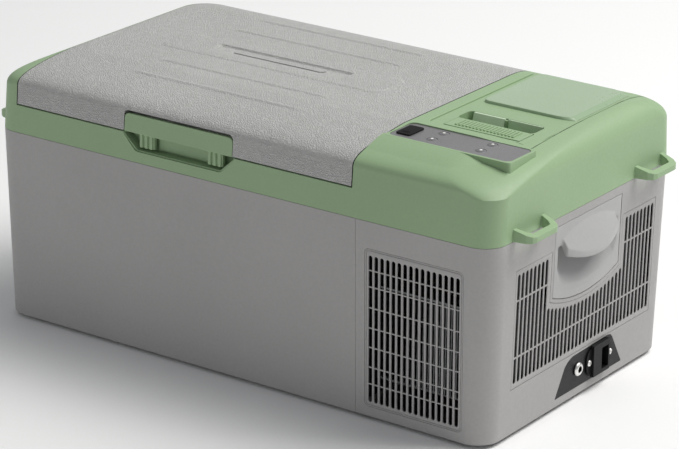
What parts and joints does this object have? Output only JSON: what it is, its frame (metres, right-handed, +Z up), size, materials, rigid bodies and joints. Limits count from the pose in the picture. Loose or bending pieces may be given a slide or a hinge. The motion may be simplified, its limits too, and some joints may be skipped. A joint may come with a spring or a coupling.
{
  "type": "compressor cooler fridge",
  "caption": "Portable compressor cooler: an insulated tub under a back-hinged lid with a front latch, and a cooling unit behind slotted grilles at one end.",
  "frame": {"origin": "bottom centre of the box, on the surface the feet stand on", "axes": "+X to the compressor end with the power inlet, -Y to the latch side, +Z up"},
  "size_m": [0.608, 0.32, 0.2612],
  "materials": {
    "grey_body": "fine leather grain",
    "handle_grey": "satin, soft edges",
    "green_trim": "fine grain",
    "lid_grey": "fine leather grain",
    "lining_white": "smooth",
    "lamp_lens": "frosted",
    "panel_grey": "satin",
    "black_rubber": "matte",
    "dark_plate": "smooth",
    "black_plastic": "smooth",
    "bright_metal": "polished",
    "plated_steel": "zinc plated",
    "compressor_black": "semi gloss enamel",
    "copper_tube": "drawn tube",
    "fin_aluminium": "rolled",
    "foam": "foamed",
    "circuit_board": "smooth"
  },
  "bodies": {
    "cabinet": {"back_grille": "grey_body", "base_tray": "plated_steel", "body_shell": "grey_body", "catch_plate": "green_trim", "compressor": "compressor_black", "compressor_mount": "plated_steel", "condenser_fins": "fin_aluminium", "condenser_tube": "copper_tube", "control_board": "circuit_board", "control_panel": "panel_grey", "dc_pin_1": "bright_metal", "dc_pin_2": "bright_metal", "dc_socket": "black_plastic", "discharge_pipe": "copper_tube", "display_board": "circuit_board", "end_grille": "grey_body", "evaporator_coil": "copper_tube", "fan_frame": "black_plastic", "filter_drier": "copper_tube", "foot_1": "black_rubber", "foot_2": "black_rubber", "foot_3": "black_rubber", "foot_4": "black_rubber", "front_grille": "grey_body", "handle_left": "handle_grey", "handle_right": "handle_grey", "heat_sink": "fin_aluminium", "hinge_pin_left": "bright_metal", "hinge_pin_right": "bright_metal", "inlet_plate": "dark_plate", "inner_liner": "lining_white", "insulation_foam": "foam", "interior_lamp": "lamp_lens", "jack_body": "black_plastic", "jack_nut": "bright_metal", "machine_cover": "grey_body", "mount_grommet_1": "black_rubber", "mount_grommet_2": "black_rubber", "mount_grommet_3": "black_rubber", "socket_screw_back": "bright_metal", "socket_screw_front": "bright_metal", "suction_pipe": "copper_tube", "top_frame": "green_trim", "usb_port": "black_plastic"},
    "lid": {"lid_outer": "lid_grey", "lid_inner": "lining_white", "lid_foam": "foam", "lid_gasket": "black_rubber", "latch_pin": "bright_metal", "latch_spring": "bright_metal"},
    "latch": {"latch_flap": "green_trim"},
    "power_button": {"button_power": "panel_grey"},
    "set_button": {"button_set": "panel_grey"},
    "minus_button": {"button_minus": "panel_grey"},
    "plus_button": {"button_plus": "panel_grey"},
    "usb_flap": {"usb_cover": "black_rubber"},
    "phone_rest": {"phone_flap": "green_trim"},
    "fan": {"fan_rotor": "black_plastic"}
  },
  "joints": [
    {"name": "lid_hinge", "type": "hinge", "parent": "cabinet", "child": "lid", "pos_m": [-0.06215, 0.1555, 0.2225], "axis": [-1, 0, 0], "range_deg": [0, 95]},
    {"name": "latch_pivot", "type": "hinge", "parent": "lid", "child": "latch", "pos_m": [-0.06335, -0.1539, 0.2355], "axis": [-1, 0, 0], "range_deg": [0, 30], "stiffness_Nm_per_rad": 0.15, "springref_deg": -20.05},
    {"name": "power_press", "type": "slide", "parent": "cabinet", "child": "power_button", "axis": [0, 0, -1], "range_m": [0, 0.0008], "stiffness_N_per_m": 1500, "springref_m": -0.0004},
    {"name": "set_press", "type": "slide", "parent": "cabinet", "child": "set_button", "axis": [0, 0, -1], "range_m": [0, 0.0008], "stiffness_N_per_m": 1500, "springref_m": -0.0004},
    {"name": "minus_press", "type": "slide", "parent": "cabinet", "child": "minus_button", "axis": [0, 0, -1], "range_m": [0, 0.0008], "stiffness_N_per_m": 1500, "springref_m": -0.0004},
    {"name": "plus_press", "type": "slide", "parent": "cabinet", "child": "plus_button", "axis": [0, 0, -1], "range_m": [0, 0.0008], "stiffness_N_per_m": 1500, "springref_m": -0.0004},
    {"name": "usb_flap_hinge", "type": "hinge", "parent": "cabinet", "child": "usb_flap", "pos_m": [0.15025, -0.0779, 0.2598], "axis": [-1, 0, 0], "range_deg": [0, 110], "stiffness_Nm_per_rad": 0.0006},
    {"name": "phone_rest_hinge", "type": "hinge", "parent": "cabinet", "child": "phone_rest", "pos_m": [0.20275, -0.0527, 0.2571], "axis": [1, 0, 0], "range_deg": [0, 80]},
    {"name": "fan_spin", "type": "hinge", "parent": "cabinet", "child": "fan", "pos_m": [0.208, -0.104, 0.085], "axis": [0, 1, 0], "continuous": true}
  ]
}
